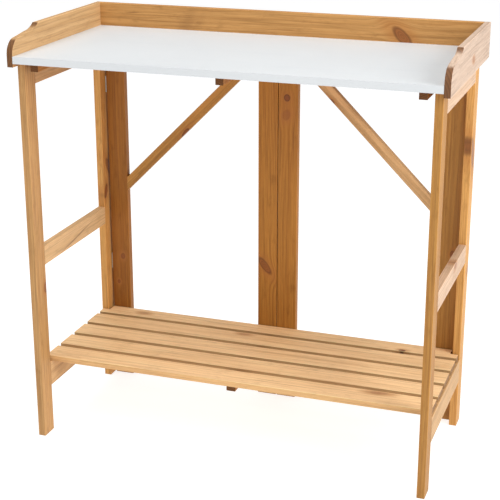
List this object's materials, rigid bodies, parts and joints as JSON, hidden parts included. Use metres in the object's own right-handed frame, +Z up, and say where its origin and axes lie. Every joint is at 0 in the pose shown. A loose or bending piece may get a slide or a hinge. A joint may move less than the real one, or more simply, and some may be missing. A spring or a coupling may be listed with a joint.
{
  "type": "potting bench",
  "caption": "Folding timber potting bench with a loose metal-topped work surface inside low upstands, braced hinged frame and a loose slatted lower shelf.",
  "frame": {"origin": "on the floor, under the middle of the bench's overall box", "axes": "+X to the right along the bench seen from the front, +Y from the open front edge to the back upstand, +Z up"},
  "size_m": [0.98, 0.466, 0.982],
  "materials": {
    "frame_timber": "honey-stained softwood, planed and oiled, slightly satin",
    "upstand_timber": "honey-stained knotty softwood boards, satin",
    "shelf_timber": "honey-stained softwood slats, satin",
    "batten_timber": "stained softwood battens",
    "dowel_wood": "bare hardwood dowels, hidden",
    "board": "bare exterior board under the metal sheet",
    "zinc_sheet": "light grey zinc-coated sheet, matt",
    "hinge_steel": "zinc-plated steel, dull",
    "screw_steel": "zinc-plated steel screws",
    "nail_steel": "bright steel nails"
  },
  "bodies": {
    "back_frame": {"left_outer_stile": "frame_timber", "left_centre_stile": "frame_timber", "left_back_rail": "frame_timber", "left_brace": "frame_timber", "left_leaf_dowels": "dowel_wood", "left_leaf_hinge_screws": "screw_steel", "left_hinge_pins": "hinge_steel", "left_upper_hinge_stile_leaf": "hinge_steel", "left_lower_hinge_stile_leaf": "hinge_steel", "right_outer_stile": "frame_timber", "right_centre_stile": "frame_timber", "right_back_rail": "frame_timber", "right_brace": "frame_timber", "right_leaf_dowels": "dowel_wood", "right_leaf_hinge_screws": "screw_steel", "right_hinge_pins": "hinge_steel", "right_upper_hinge_stile_leaf": "hinge_steel", "right_lower_hinge_stile_leaf": "hinge_steel", "centre_upper_hinge_right_leaf": "hinge_steel", "centre_upper_hinge_left_leaf": "hinge_steel", "centre_lower_hinge_right_leaf": "hinge_steel", "centre_lower_hinge_left_leaf": "hinge_steel", "centre_hinge_pins": "hinge_steel"},
    "left_side_frame": {"left_front_post": "frame_timber", "left_rear_post": "frame_timber", "left_top_rail": "frame_timber", "left_middle_rail": "frame_timber", "left_bottom_rail": "frame_timber", "left_frame_dowels": "dowel_wood", "left_frame_hinge_screws": "screw_steel", "left_upper_hinge_frame_leaf": "hinge_steel", "left_lower_hinge_frame_leaf": "hinge_steel"},
    "right_side_frame": {"right_front_post": "frame_timber", "right_rear_post": "frame_timber", "right_top_rail": "frame_timber", "right_middle_rail": "frame_timber", "right_bottom_rail": "frame_timber", "right_frame_dowels": "dowel_wood", "right_frame_hinge_screws": "screw_steel", "right_upper_hinge_frame_leaf": "hinge_steel", "right_lower_hinge_frame_leaf": "hinge_steel"},
    "worktop_cap": {"worktop_board": "board", "worktop_sheet": "zinc_sheet", "left_upstand": "upstand_timber", "right_upstand": "upstand_timber", "back_upstand": "upstand_timber", "left_worktop_batten": "batten_timber", "centre_worktop_batten": "batten_timber", "right_worktop_batten": "batten_timber", "upstand_nails": "nail_steel", "worktop_screws": "screw_steel"},
    "shelf": {"shelf_slat_1": "shelf_timber", "shelf_slat_2": "shelf_timber", "shelf_slat_3": "shelf_timber", "shelf_slat_4": "shelf_timber", "shelf_slat_5": "shelf_timber", "shelf_batten": "shelf_timber", "shelf_screws": "screw_steel"}
  },
  "joints": [
    {"name": "worktop_lift", "type": "slide", "parent": "back_frame", "child": "worktop_cap", "axis": [0, 0, 1], "range_m": [0, 0.15]},
    {"name": "shelf_lift", "type": "slide", "parent": "back_frame", "child": "shelf", "axis": [0, 0, 1], "range_m": [0, 0.2]},
    {"name": "left_frame_fold", "type": "hinge", "parent": "back_frame", "child": "left_side_frame", "pos_m": [-0.454, 0.19, 0.5], "axis": [0, 0, 1], "range_deg": [0, 1.8]},
    {"name": "right_frame_fold", "type": "hinge", "parent": "back_frame", "child": "right_side_frame", "pos_m": [0.454, 0.19, 0.5], "axis": [0, 0, -1], "range_deg": [0, 1.8]}
  ]
}
